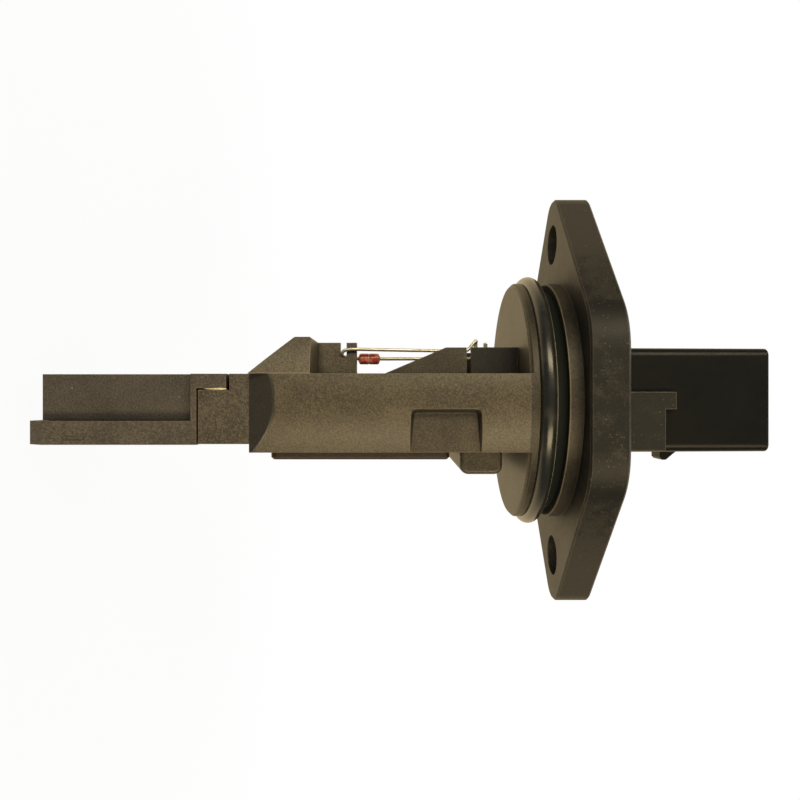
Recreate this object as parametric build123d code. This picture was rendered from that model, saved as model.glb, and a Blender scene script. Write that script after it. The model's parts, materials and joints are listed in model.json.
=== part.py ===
from build123d import *
import math
import os

# Plug-in mass airflow sensor, in millimetres.
# The origin is the middle of the bolt pattern, on the flange's mounting face.
# +Z runs along the spigot axis to the plug, X along the bolt line, Y along the air flow.
# The blade hangs down into the duct. The side at -Y is the one that the air leaves.

# Flange
flange_length = 56.0
flange_width = 36.8
flange_thick = 4.6
flange_taper = 41.4
flange_end_radius = 3.8
flange_side_radius = 8.7
flange_edge = 0.25
bolt_spacing = 43.6
bolt_hole = 5.5

# Spigot and its seal ring
spigot_radius = 16.1
collar_length = 1.7
groove_width = 3.4
lip_thick = 1.1
lip_edge = 0.4
seal_inner = 30.0
seal_section = 2.0
seal_sides = 12
seal_clearance = 0.04

# Blade body with the electronics chamber
body_length = 33.0
body_front = 3.1
body_back = 6.2
nose_length = 3.1
nose_drop = 1.35
pocket_length = 8.2
pocket_start = 5.7
pocket_side = 1.04
pocket_depth = 1.5
pocket_draft = 17.0
pocket_round = 0.8
block_start = 2.07
block_length = 5.46
block_height = 3.33
block_front = 8.3
block_far = 11.9
block_round = 1.1
block_edge = 0.5
chamber_start = 10.4
chamber_length = 19.4
chamber_half_width = 9.8
chamber_round = 1.5

# Cover of the chamber and its bead of adhesive
cover_thick = 1.1
cover_margin = 2.0
cover_end_margin = 1.3
cover_round = 0.8
cover_rim_thick = 0.9
cover_rim_height = 1.0
cover_fit = 0.15
cover_panel_inset = 1.6
cover_panel_depth = 0.3
bead_offset = 0.5
bead_width = 0.6
bead_depth = 0.5

# Arm between the blade body and the measuring channel
arm_half_width = 14.75
stub_length = 6.0
stub_front = 1.2
stub_back = 5.2
stub_full_length = 2.3
joint_gap = 0.2

# Base of the measuring channel: a plate, an end wall and a tongue
base_plate_top = 2.46
base_back = 5.29
base_wall = 0.7
base_tongue_length = 3.5
base_tongue_thick = 1.7
tip_overhang = 1.36
tip_bevel_length = 2.0
tip_bevel_depth = 1.15
gate_mark_length = 2.8
gate_mark_width = 0.6
gate_mark_depth = 0.15
gate_mark_start = 4.3
base_relief_depth = 0.35
base_relief_margin = 1.2

# Channel piece
channel_length = 18.2
channel_setback = 1.45
channel_wall = 1.0
channel_end_wall = 1.3
duct_centre = 7.3
inlet_height = 10.0
duct_height = 8.0
inlet_lip = 1.0
inlet_straight = 2.6
inlet_funnel = 7.0
outlet_length = 5.6
outlet_height = 6.4
outlet_round = 1.5
channel_nose_round = 0.9
channel_clearance = 0.05

# Sensing strip that reaches into the channel
carrier_thick = 0.8
carrier_side_gap = 0.6
strip_width = 6.0
strip_offset = 0.5
strip_reach = 1.5
strip_fit = 0.1
strip_slot_height = 1.1
strip_nose_round = 1.2
chip_width = 2.4
chip_length = 4.2
chip_thick = 0.4
foil_width = 2.0
foil_thick = 0.12
rib_fit = 0.1

# Circuit board and what it carries
board_thick = 0.65
board_margin = 0.7
board_end_margin = 0.7
evaluation_chip_size = 4.4
evaluation_chip_thick = 1.0
capacitor_size = (1.25, 2.0, 0.9)
resistor_size = (0.8, 1.6, 0.45)
capacitor_rows = ((-6.2, -4.6), (-6.2, 0.0), (6.2, -4.6), (6.2, 0.0))
resistor_rows = ((-3.0, -6.0), (-1.0, -6.0), (1.0, -6.0), (3.0, -6.0), (6.2, 4.2), (-6.2, 4.2))
bond_wire_width = 0.5
bond_wire_thick = 0.15
bond_height = 0.6
bond_inset = 0.7

# Plug shroud and its terminals
shroud_height = 18.9
shroud_width = 25.0
shroud_depth = 12.76
shroud_draft = 0.25
shroud_wall = 1.5
shroud_corner = 1.0
shroud_edge = 0.3
socket_corner = 0.5
socket_floor = 3.9
socket_lead_in = 0.5
pad_height = 6.0
pad_step = 1.3
pad_front = 0.97
pad_step_back = 1.1
pad_proud = 0.6
latch_start = 10.0
latch_length = 3.1
latch_crest = 0.8
latch_height = 1.9
latch_edge = 0.3
latch_width = 3.0
terminal_count = 5
terminal_pitch = 4.0
terminal_width = 1.5
terminal_thick = 0.8
terminal_reach = 7.5
terminal_tail = 2.2
terminal_tip = 0.35
ledge_rise = 0.2

# Guard, posts and leads of the air temperature probe
guard_start = 0.05
guard_height = 4.4
guard_slope = 5.25
guard_top = 2.0
guard_edge = 0.3
guard_far = 4.0
shield_thick = 1.0
plate_front = 7.45
plate_length = 4.9
plate_height = 4.3
notch_start = 1.3
notch_width = 0.82
notch_depth = 1.95
ramp_front = 9.5
ramp_start = 15.3
ramp_rise = 8.3
ramp_top = 2.6
ramp_height = 3.53
rail_length = 6.0
rail_height = 3.72
back_rail_front = 3.2
back_rail_length = 9.8
back_rail_height = 3.3
post_size = 0.5
post_bend = 0.4
post_tip = 0.1
long_post = (5.2, 5.3)
short_post = (4.0, 6.1)
long_post_height = 4.9
short_post_height = 4.4
bead_diameter = 1.45
bead_length = 2.8
bead_end = 0.3
bead_start = 17.85
bead_height = 2.3
bead_row = 6.0
lead_wire = 0.4
lead_sides = 6
lead_in_glass = 0.5
lead_gap = 0.1
lead_bend = 0.25
lead_wrap_rise = 0.16
hook_height = 3.4

# Heights and places that follow from the sizes above
lip_z = -(collar_length + groove_width + lip_thick)
body_end_z = lip_z - body_length
body_low_x = -body_front
body_high_x = body_back
chamber_top_z = lip_z - chamber_start
chamber_end_z = chamber_top_z - chamber_length
ledge_x = -terminal_thick / 2
floor_x = ledge_x - ledge_rise
carrier_top_x = floor_x + carrier_thick
board_top_x = carrier_top_x + board_thick
stub_end_z = body_end_z - stub_length
base_top_z = stub_end_z - joint_gap
channel_top_z = base_top_z - base_wall
channel_end_z = channel_top_z - channel_length
base_end_z = channel_end_z - tip_overhang
duct_z = channel_end_z + duct_centre
socket_floor_z = flange_thick + socket_floor
strip_low_y = strip_offset - strip_width / 2
strip_high_y = strip_offset + strip_width / 2
strip_end_z = duct_z - strip_reach
ledge_end_z = chamber_top_z - terminal_tail
seal_z = lip_z + lip_thick + seal_section / 2 + seal_clearance


def block(x_range, y_range, z_range):
    """A box between two places along each axis."""
    size = [high - low for low, high in (x_range, y_range, z_range)]
    middle = [(high + low) / 2 for low, high in (x_range, y_range, z_range)]
    return Pos(*middle) * Box(*size)


def across_flow(points, y_range):
    """A solid whose outline is given by X and Z places, drawn out along Y."""
    plane = Plane(origin=(0, y_range[1], 0), x_dir=(1, 0, 0), z_dir=(0, -1, 0))
    outline = make_face(Polyline(*points, close=True))
    return extrude(plane * outline, amount=y_range[1] - y_range[0])


def side_plane(x):
    """The plane seen along X, with Y to the right and Z up."""
    return Plane(origin=(x, 0, 0), x_dir=(0, 1, 0), z_dir=(1, 0, 0))


def round_bar(points, diameter, bend):
    """A wire through the points, with an arc at each corner."""
    path = FilletPolyline(*points, radius=bend)
    start = Plane(origin=path @ 0, z_dir=path % 0)
    return sweep(start * RegularPolygon(diameter / 2, lead_sides), path=path)


def spigot_slab(radius, z_range):
    """A disc about the spigot axis."""
    return Pos(0, 0, (z_range[0] + z_range[1]) / 2) * Cylinder(radius, z_range[1] - z_range[0])


def flange():
    """The two-hole flange: slanted edges run from the wide middle to each rounded end."""
    slant = math.radians(flange_taper)
    point_x = flange_length / 2 + flange_end_radius * (1 / math.sin(slant) - 1)
    half_width = flange_width / 2
    shoulder_x = point_x - half_width / math.tan(slant)
    corners = [(point_x, 0), (shoulder_x, half_width), (-shoulder_x, half_width)]
    corners += [(-x, -y) for x, y in corners]
    outline = make_face(Polyline(*corners, close=True))
    ends = [v for v in outline.vertices() if abs(v.Y) < half_width / 2]
    outline = fillet(ends, flange_end_radius)
    sides = [v for v in outline.vertices() if abs(v.Y) > half_width - flange_edge]
    outline = fillet(sides, flange_side_radius)
    for side in (-1, 1):
        outline -= Pos(side * bolt_spacing / 2, 0) * Circle(bolt_hole / 2)
    plate = extrude(outline, amount=flange_thick)
    rims = [plate.faces().sort_by(Axis.Z)[end].outer_wire().edges() for end in (0, -1)]
    return chamfer(rims[0] + rims[1], flange_edge)


def spigot():
    """The collar, the seal groove and the lip, turned about the axis."""
    groove_z = (lip_z + lip_thick, -collar_length)
    turned = spigot_slab(spigot_radius, (lip_z, 0))
    lip_rim = turned.edges().sort_by(Axis.Z)[0]
    turned = chamfer(lip_rim, lip_edge)
    groove_radius = seal_inner / 2 - seal_clearance
    ring = spigot_slab(spigot_radius + lip_thick, groove_z) - spigot_slab(groove_radius, groove_z)
    return turned - ring


def blade_body():
    """The blade between the lip and the arm, cut from the round bar that fits the bore."""
    bar = spigot_slab(spigot_radius, (body_end_z, lip_z + lip_edge))
    reach = 2 * spigot_radius
    body = bar & block((body_low_x, body_high_x), (-reach, reach), (body_end_z, 0))
    for side in (-1, 1):
        nose = [
            (side * (spigot_radius - nose_drop), body_end_z),
            (side * spigot_radius, body_end_z + nose_length),
            (side * reach, body_end_z + nose_length),
            (side * reach, body_end_z),
        ]
        cutter = make_face(Polyline(*nose, close=True))
        body -= extrude(side_plane(body_low_x) * cutter, amount=body_front + body_back)
    return body


def mould_pocket():
    """The drafted pocket in the edge of the blade, which keeps its width as the edge curves away."""
    high_x = body_high_x + pocket_depth
    half = pocket_length / 2
    fall = spigot_radius - math.sqrt(spigot_radius**2 - high_x**2)
    spread = fall * math.tan(math.radians(pocket_draft))
    corners = [(pocket_side, half), (high_x, half + spread), (high_x, -half - spread), (pocket_side, -half)]
    mouth = make_face(Polyline(*corners, close=True))
    mouth = fillet(mouth.vertices().sort_by(Axis.X)[:2], pocket_round)
    middle_z = lip_z - pocket_start - half
    plane = Plane(origin=(0, -spigot_radius, middle_z), x_dir=(1, 0, 0), z_dir=(0, 1, 0))
    return extrude(plane * mouth, amount=pocket_depth, taper=pocket_draft)


def end_block():
    """The block beside the lip, past the end of the cover."""
    top_z = lip_z - block_start
    high_x = body_high_x + block_height
    bar = block((body_high_x, high_x), (-block_front, block_far), (top_z - block_length, top_z))
    crest = bar.edges().filter_by(Axis.Y).group_by(Axis.X)[-1]
    bar = fillet(crest, block_round)
    rim = bar.faces().sort_by(Axis.Y)[0].edges().sort_by(Axis.X)[1:]
    return fillet(rim, block_edge)


def arm_stub():
    """The arm at the end of the blade, stepped for the tongue of the channel base."""
    y_range = (-arm_half_width, arm_half_width)
    step_z = body_end_z - stub_full_length
    thin = block((-stub_front, stub_back), y_range, (stub_end_z, body_end_z))
    full = block((body_low_x, stub_back), y_range, (step_z, body_end_z))
    return thin + full


def probe_guard():
    """The hump and the notched plate that shield and hold the temperature probe."""
    foot_z = body_end_z + guard_start
    crest_z = foot_z + guard_slope
    end_z = crest_z + guard_top
    high_x = body_low_x - guard_height
    root_x = body_low_x + shield_thick
    points = [(body_low_x, foot_z), (high_x, crest_z), (high_x, end_z), (body_low_x, end_z)]
    hump = across_flow(points, (-spigot_radius, -guard_far))
    crest = hump.edges().filter_by(Axis.Y).sort_by(Axis.X)[:2]
    hump = fillet(crest, guard_edge)
    hump &= spigot_slab(spigot_radius, (body_end_z, lip_z))
    plate_y = (-plate_front, -plate_front + shield_thick)
    plate_x = (body_low_x - plate_height, root_x)
    plate = block(plate_x, plate_y, (end_z - shield_thick, end_z + plate_length))
    notch_z = end_z + plate_length - notch_start - notch_width / 2
    notch_x = plate_x[0] + notch_depth
    foot = Pos(notch_x - notch_width / 2, plate_y[0] + shield_thick / 2, notch_z)
    notch = foot * Rot(90, 0, 0) * Cylinder(notch_width / 2, 2 * shield_thick)
    notch += block(
        (plate_x[0] - shield_thick, notch_x - notch_width / 2),
        (plate_y[0] - shield_thick / 2, plate_y[1] + shield_thick / 2),
        (notch_z - notch_width / 2, notch_z + notch_width / 2),
    )
    return hump + (plate - notch)


def wire_guard():
    """The ramp, the rail and the back rail that shield the leads and the posts."""
    root_x = body_low_x + shield_thick
    foot_z = body_end_z + ramp_start
    crest_z = foot_z + ramp_rise
    end_z = crest_z + ramp_top
    high_x = body_low_x - ramp_height
    points = [(root_x, foot_z), (body_low_x, foot_z), (high_x, crest_z), (high_x, end_z), (root_x, end_z)]
    ramp = across_flow(points, (-ramp_front, -ramp_front + shield_thick))
    top_z = lip_z + lip_edge
    rail = block(
        (body_low_x - rail_height, root_x),
        (-plate_front, -plate_front + shield_thick),
        (lip_z - rail_length, top_z),
    )
    back = block(
        (body_low_x - back_rail_height, root_x),
        (-back_rail_front, -back_rail_front + shield_thick),
        (lip_z - back_rail_length, top_z),
    )
    return ramp + rail + back


def plug_shroud():
    """The socket around the terminals, with its pad and its latch ramp."""
    outline = RectangleRounded(shroud_depth, shroud_width, shroud_corner)
    shell = extrude(Pos(0, 0, flange_thick) * outline, amount=shroud_height, taper=shroud_draft)
    shell = fillet(shell.faces().sort_by(Axis.Z)[-1].edges(), shroud_edge)
    end_depth = shroud_depth / 2
    pad_y = (-shroud_width / 2 - pad_proud, -shroud_width / 2 + shroud_wall)
    pad_z = flange_thick + pad_height
    shell += block((-pad_front, end_depth - shroud_edge), pad_y, (flange_thick, pad_z))
    shell += block((-pad_front, pad_step_back), pad_y, (pad_z, pad_z + pad_step))
    latch_z = flange_thick + latch_start
    inner_x = end_depth - shroud_wall / 2
    crest_x = end_depth + latch_height
    latch = [
        (inner_x, latch_z),
        (crest_x - latch_edge, latch_z),
        (crest_x, latch_z + latch_edge),
        (crest_x, latch_z + latch_crest),
        (end_depth, latch_z + latch_length),
        (inner_x, latch_z + latch_length),
    ]
    return shell + across_flow(latch, (-latch_width / 2, latch_width / 2))


def socket_hollow():
    """The space inside the shroud that takes the plug."""
    depth = shroud_depth - 2 * shroud_wall
    width = shroud_width - 2 * shroud_wall
    outline = RectangleRounded(depth, width, socket_corner)
    lead_z = flange_thick + shroud_height - socket_lead_in
    lead_in = extrude(Pos(0, 0, lead_z) * outline, amount=socket_lead_in, taper=-45)
    return extrude(Pos(0, 0, socket_floor_z) * outline, amount=shroud_height) + lead_in


def chamber_face(x, margin, end_margin, corner):
    """The outline of the chamber, grown or shrunk by a margin, at one depth."""
    half = chamber_half_width + margin
    length = chamber_length + 2 * end_margin
    middle = (chamber_top_z + chamber_end_z) / 2
    return side_plane(x) * (Pos(0, middle) * RectangleRounded(2 * half, length, corner))


def chamber():
    """The electronics chamber, with a ledge under the tails of the terminals."""
    face = chamber_face(floor_x, 0, 0, chamber_round)
    room = extrude(face, amount=body_high_x - floor_x)
    ledge = block((floor_x, ledge_x), (-spigot_radius, spigot_radius), (ledge_end_z, chamber_top_z))
    return room - ledge


def bead_ring():
    """The bead of adhesive in its groove around the chamber."""
    inner = bead_offset
    outer = bead_offset + bead_width
    base_x = body_high_x - bead_depth
    ring = chamber_face(base_x, outer, outer, chamber_round + outer)
    ring -= chamber_face(base_x, inner, inner, chamber_round + inner)
    return extrude(ring, amount=bead_depth)


def strip_slot():
    """The slot through the arm for the sensing strip."""
    y_range = (strip_low_y - strip_fit, strip_high_y + strip_fit)
    return block((floor_x, floor_x + strip_slot_height), y_range, (stub_end_z, chamber_end_z))


def gate_mark():
    """The small oval dimple on the edge of the channel base."""
    place = Plane(
        origin=((base_plate_top + base_back) / 2 + gate_mark_width, -arm_half_width, 0),
        x_dir=(0, 0, 1),
        z_dir=(0, 1, 0),
    )
    centre = base_end_z + gate_mark_start + gate_mark_length / 2
    slot = Pos(centre, 0) * SlotOverall(gate_mark_length, gate_mark_width)
    return extrude(place * slot, amount=gate_mark_depth)


def main_housing(inserts):
    """One moulding: flange, spigot, blade, arm, probe guards and plug shroud."""
    housing = spigot() + flange() + blade_body() + arm_stub() + end_block()
    housing += probe_guard() + wire_guard() + plug_shroud()
    for hollow in (mould_pocket(), chamber(), bead_ring(), strip_slot(), socket_hollow()):
        housing -= hollow
    for insert in inserts:
        housing -= insert
    return housing


def seal_ring():
    """The rubber ring in the groove of the spigot."""
    middle = Pos((seal_inner + seal_section) / 2, seal_z) * Rot(0, 0, 180 / seal_sides)
    section = RegularPolygon(seal_section / 2, seal_sides, major_radius=False)
    return revolve(Plane.XZ * middle * section, Axis.Z)


def electronics_cover():
    """The cover plate, with a rim that drops into the chamber."""
    outline = chamber_face(body_high_x, cover_margin, cover_end_margin, cover_round)
    plate = extrude(outline, amount=cover_thick)
    edge = plate.faces().sort_by(Axis.X)[-1].edges()
    plate = chamfer(edge, cover_thick / 4)
    inset = cover_margin - cover_panel_inset
    panel = chamber_face(body_high_x + cover_thick - cover_panel_depth, inset, inset, chamber_round)
    plate -= extrude(panel, amount=cover_panel_depth)
    base_x = body_high_x - cover_rim_height
    rim = chamber_face(base_x, -cover_fit, -cover_fit, chamber_round - cover_fit)
    inset = cover_fit + cover_rim_thick
    rim -= chamber_face(base_x, -inset, -inset, chamber_round / 4)
    return plate + extrude(rim, amount=cover_rim_height)


def channel_base():
    """The plate that closes the channel, with its end wall, tongue and sealing rib."""
    y_range = (-arm_half_width, arm_half_width)
    plate = block((base_plate_top, base_back), y_range, (base_end_z, base_top_z))
    corners = plate.edges().filter_by(Axis.X).group_by(Axis.Z)[0]
    for corner in corners:
        side = 1 if corner.center().Y > 0 else -1
        bevel = [
            (side * arm_half_width, base_end_z + tip_bevel_length),
            (side * (arm_half_width - tip_bevel_depth), base_end_z),
            (side * arm_half_width, base_end_z),
        ]
        cutter = make_face(Polyline(*bevel, close=True))
        plate -= extrude(side_plane(base_plate_top) * cutter, amount=base_back - base_plate_top)
    wall = block((body_low_x, base_back), y_range, (channel_top_z, base_top_z))
    tongue_z = (channel_top_z, channel_top_z + base_wall + base_tongue_length)
    tongue = block((body_low_x, body_low_x + base_tongue_thick), y_range, tongue_z)
    slot_y = (strip_low_y - strip_fit, strip_high_y + strip_fit)
    slot = block((floor_x - strip_fit, floor_x + strip_slot_height), slot_y, (channel_top_z, base_top_z))
    rib_y = (slot_y[0] + rib_fit, slot_y[1] - rib_fit)
    rib_end_z = duct_z + duct_height / 2
    rib = block((floor_x + strip_slot_height, base_plate_top), rib_y, (rib_end_z, channel_top_z))
    return plate + wall + tongue + rib - slot - gate_mark() - base_relief()


def base_relief():
    """The shallow relief in the outside of the base plate, along the air path inside it."""
    half = duct_height / 2 + base_relief_margin
    mouth_y = arm_half_width - inlet_lip
    turn_y = duct_turn()
    upper = Line((mouth_y, duct_z + half), (turn_y, duct_z + half))
    end = ThreePointArc((turn_y, duct_z + half), (turn_y - half, duct_z), (turn_y, duct_z - half))
    lower = Line((turn_y, duct_z - half), (mouth_y, duct_z - half))
    mouth = Line((mouth_y, duct_z - half), (mouth_y, duct_z + half))
    outline = make_face([upper, end, lower, mouth])
    return extrude(side_plane(base_back - base_relief_depth) * outline, amount=base_relief_depth)


def duct_turn():
    """The place along Y where the round end of the air path starts."""
    return -(arm_half_width - channel_setback - channel_end_wall - duct_height / 2)


def duct():
    """The air path: a flared inlet, a straight measuring stretch and a round end."""
    half_in = inlet_height / 2
    half = duct_height / 2
    mouth_y = arm_half_width
    straight_y = mouth_y - inlet_lip - inlet_straight
    throat_y = straight_y - inlet_funnel
    turn_y = duct_turn()
    upper = []
    for side in (1, -1):
        lip_out = (mouth_y, duct_z + side * (half_in + inlet_lip))
        lip_in = (mouth_y - inlet_lip, duct_z + side * half_in)
        hollow = RadiusArc(lip_out, lip_in, side * inlet_lip)
        run = Line(lip_in, (straight_y, duct_z + side * half_in))
        bend = Bezier(
            (straight_y, duct_z + side * half_in),
            (straight_y - inlet_funnel / 2, duct_z + side * half_in),
            (throat_y + inlet_funnel / 2, duct_z + side * half),
            (throat_y, duct_z + side * half),
        )
        upper += [hollow, run, bend, Line((throat_y, duct_z + side * half), (turn_y, duct_z + side * half))]
    end = ThreePointArc((turn_y, duct_z + half), (turn_y - half, duct_z), (turn_y, duct_z - half))
    mouth = Line((mouth_y, duct_z + half_in + inlet_lip), (mouth_y, duct_z - half_in - inlet_lip))
    outline = make_face(upper + [end, mouth])
    floor = body_low_x + channel_wall
    return extrude(side_plane(floor) * outline, amount=base_plate_top - floor)


def measuring_channel():
    """The piece that holds the air path, open towards the base plate."""
    low_y = -(arm_half_width - channel_setback)
    top_z = channel_top_z - channel_clearance
    high_x = base_plate_top - channel_clearance
    shell = block((body_low_x, high_x), (low_y, arm_half_width), (channel_end_z, top_z))
    nose = shell.edges().filter_by(Axis.Z).group_by(Axis.Y)[-1].sort_by(Axis.X)[0]
    shell = fillet(nose, min(channel_nose_round, channel_wall - channel_clearance))
    shell -= duct()
    outlet_y = low_y + channel_end_wall + outlet_length / 2 + channel_wall
    window = RectangleRounded(outlet_length, outlet_height, outlet_round)
    shell -= extrude(side_plane(body_low_x) * (Pos(outlet_y, duct_z) * window), amount=channel_wall)
    slot_y = (strip_low_y - strip_fit, strip_high_y + strip_fit)
    shell -= block((floor_x - strip_fit, high_x), slot_y, (duct_z, top_z))
    return shell


def carrier_plate():
    """The metal carrier: a plate under the board and the strip that reaches into the channel."""
    half = chamber_half_width - carrier_side_gap
    wide_z = (chamber_end_z + carrier_side_gap, ledge_end_z - carrier_side_gap)
    plate = block((floor_x, carrier_top_x), (-half, half), wide_z)
    strip = block((floor_x, carrier_top_x), (strip_low_y, strip_high_y), (strip_end_z, wide_z[0]))
    tips = strip.edges().filter_by(Axis.X).group_by(Axis.Z)[0]
    strip = fillet(tips, strip_nose_round)
    return plate + strip - sensor_chip()


def sensor_chip():
    """The heated sensor chip, flush in the strip at the middle of the channel."""
    y_range = (strip_offset - chip_width / 2, strip_offset + chip_width / 2)
    start_z = duct_z - strip_reach + strip_nose_round
    return block((carrier_top_x - chip_thick, carrier_top_x), y_range, (start_z, start_z + chip_length))


def sensor_foil():
    """The conductor foil that runs from the chip to the board."""
    y_range = (strip_offset - foil_width / 2, strip_offset + foil_width / 2)
    start_z = duct_z - strip_reach + strip_nose_round + chip_length
    return block((carrier_top_x, carrier_top_x + foil_thick), y_range, (start_z, board_range()[0]))


def board_range():
    """The two ends of the circuit board along Z."""
    start_z = chamber_end_z + carrier_side_gap + board_end_margin
    return (start_z, ledge_end_z - carrier_side_gap - board_margin)


def circuit_board():
    """The ceramic circuit board on the carrier."""
    half = chamber_half_width - carrier_side_gap - board_margin
    return block((carrier_top_x, board_top_x), (-half, half), board_range())


def on_board(size, y, z):
    """A part of the given width, length and height on the board, placed from its middle."""
    middle_z = sum(board_range()) / 2 + z
    width, length, height = size
    return block(
        (board_top_x, board_top_x + height),
        (y - width / 2, y + width / 2),
        (middle_z - length / 2, middle_z + length / 2),
    )


def evaluation_chip():
    """The chip that evaluates the signal."""
    size = (evaluation_chip_size, evaluation_chip_size, evaluation_chip_thick)
    body = on_board(size, 0, 0)
    return chamfer(body.faces().sort_by(Axis.X)[-1].edges(), evaluation_chip_thick / 5)


def terminal_rows():
    """The places of the terminals along Y."""
    middle = (terminal_count - 1) / 2
    return [(number - middle) * terminal_pitch for number in range(terminal_count)]


def terminal(y):
    """One flat terminal, from its tail on the ledge to its bevelled tip in the socket."""
    tip_z = socket_floor_z + terminal_reach
    bar = block(
        (-terminal_thick / 2, terminal_thick / 2),
        (y - terminal_width / 2, y + terminal_width / 2),
        (ledge_end_z + terminal_tip, tip_z),
    )
    return chamfer(bar.faces().sort_by(Axis.Z)[-1].edges(), terminal_tip)


def bond_wires():
    """The flat bond wires from the tails of the terminals to the board."""
    tail_z = ledge_end_z + bond_inset + terminal_tip
    pad_z = board_range()[1] - bond_inset
    foot_x = terminal_thick / 2
    crest_x = board_top_x + bond_height
    thick = bond_wire_thick
    points = [
        (foot_x, tail_z + bond_inset),
        (foot_x, tail_z),
        (crest_x - thick, tail_z - thick),
        (crest_x - thick, pad_z + thick),
        (board_top_x, pad_z),
        (board_top_x, pad_z - bond_inset),
        (board_top_x + thick, pad_z - bond_inset),
        (board_top_x + thick, pad_z - thick),
        (crest_x, pad_z),
        (crest_x, tail_z),
        (foot_x + thick, tail_z + thick),
        (foot_x + thick, tail_z + bond_inset),
    ]
    half = bond_wire_width / 2
    return Compound([across_flow(points, (y - half, y + half)) for y in terminal_rows()])


def post(place, height):
    """One stamped post of the probe: upright on the blade, then bent into the chamber."""
    below_lip, row = place
    z = lip_z - below_lip
    half = post_size / 2
    rows = (-row - half, -row + half)
    upright = block((body_low_x - height, half), rows, (z - half, z + half))
    foot = block((-half, half), rows, (ledge_end_z + terminal_tip, z + half))
    bar = upright + foot
    heel = bar.edges().filter_by(Axis.Y).sort_by(Axis.X)[-2:].sort_by(Axis.Z)[-1]
    bar = fillet(heel, min(post_bend, post_size - post_tip))
    return chamfer(bar.faces().sort_by(Axis.X)[0].edges(), post_tip)


def bead_span():
    """The two ends of the glass bead along Z."""
    end_z = lip_z - bead_start
    return (end_z - bead_length, end_z)


def lead_points_long():
    """The long lead: back behind the plate, through the notch and along to its post."""
    start_z = bead_span()[0] + lead_in_glass
    x = body_low_x - bead_height
    guard_end_z = body_end_z + guard_start + guard_slope + guard_top
    notch_z = guard_end_z + plate_length - notch_start - notch_width / 2
    notch_floor_x = body_low_x - plate_height + notch_depth
    front_y = -(plate_front + lead_wire / 2 + lead_gap)
    plate_end_z = guard_end_z + plate_length
    post_z = lip_z - long_post[0]
    post_y = -long_post[1]
    reach = post_size / 2 + lead_wire / 2 + lead_gap
    low_x = body_low_x - rail_height + lead_wire
    wrap_x = body_low_x - rail_height - lead_wire / 2
    rise = lead_wrap_rise
    return [
        (x, -bead_row, start_z),
        (notch_floor_x - lead_wire / 2 - lead_gap, -bead_row, notch_z),
        (notch_floor_x - lead_wire - lead_gap, front_y, notch_z),
        (body_low_x - hook_height, front_y, plate_end_z - notch_start / 2),
        (low_x, post_y - reach, post_z - 4 * reach),
        (wrap_x, post_y - reach, post_z - reach),
        (wrap_x - rise, post_y - reach, post_z + reach),
        (wrap_x - 2 * rise, post_y + reach, post_z + reach),
        (wrap_x - 3 * rise, post_y + reach, post_z - reach),
        (wrap_x - 4 * rise, post_y, post_z - reach),
    ]


def lead_points_short():
    """The short lead: straight from the bead to its post."""
    start_z = bead_span()[1] - lead_in_glass
    x = body_low_x - bead_height
    end_z = lip_z - short_post[0] - post_size / 2 - lead_gap / 4
    return [(x, -bead_row, start_z), (x, -short_post[1], end_z)]


def short_lead():
    """The lead that is butt welded to the short post."""
    start, end = lead_points_short()
    path = Line(start, end)
    section = RegularPolygon(lead_wire / 2, lead_sides)
    return sweep(Plane(origin=path @ 0, z_dir=path % 0) * section, path=path)


def glass_bead(leads):
    """The glass body of the probe, with the ends of both leads inside it."""
    low, high = bead_span()
    place = Pos(body_low_x - bead_height, -bead_row, (low + high) / 2)
    body = Cylinder(bead_diameter / 2, bead_length)
    body = place * chamfer(body.edges().filter_by(GeomType.CIRCLE), bead_end)
    for lead in leads:
        body -= lead
    return body


def write_parts():
    """Builds each piece once and writes one file for each."""
    long_lead = round_bar(lead_points_long(), lead_wire, lead_bend)
    leads = {"ntc_lead_long": long_lead, "ntc_lead_short": short_lead()}
    posts = {
        "ntc_post_long": post(long_post, long_post_height),
        "ntc_post_short": post(short_post, short_post_height),
    }
    terminals = {f"terminal_{n + 1}": terminal(y) for n, y in enumerate(terminal_rows())}
    inserts = list(terminals.values()) + list(posts.values())
    pieces = {
        "main_housing": main_housing(inserts),
        "seal_ring": seal_ring(),
        "electronics_cover": electronics_cover(),
        "cover_adhesive": bead_ring(),
        "channel_base": channel_base(),
        "measuring_channel": measuring_channel(),
        "carrier_plate": carrier_plate(),
        "sensor_chip": sensor_chip(),
        "sensor_foil": sensor_foil(),
        "circuit_board": circuit_board(),
        "evaluation_chip": evaluation_chip(),
        "chip_capacitors": Compound([on_board(capacitor_size, y, z) for y, z in capacitor_rows]),
        "chip_resistors": Compound([on_board(resistor_size, y, z) for y, z in resistor_rows]),
        "bond_wires": bond_wires(),
        "ntc_glass_bead": glass_bead(leads.values()),
    }
    pieces.update(leads)
    pieces.update(posts)
    pieces.update(terminals)
    os.makedirs("parts", exist_ok=True)
    for name, piece in pieces.items():
        export_step(piece, f"parts/{name}.step")


write_parts()
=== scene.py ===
"""Looks of a plug-in mass airflow sensor: finishes, fine pieces, light and camera.

Lengths are in metres, in the frame of the part: +Z runs to the plug, X along the bolt holes
and Y along the air flow, with the origin in the middle of the flange's mounting face.
"""

from __future__ import annotations

import json
import logging
import math
from dataclasses import dataclass
from enum import Enum
from typing import Any, Optional, Sequence

import bmesh
import bpy
from mathutils import Matrix, Vector

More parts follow.
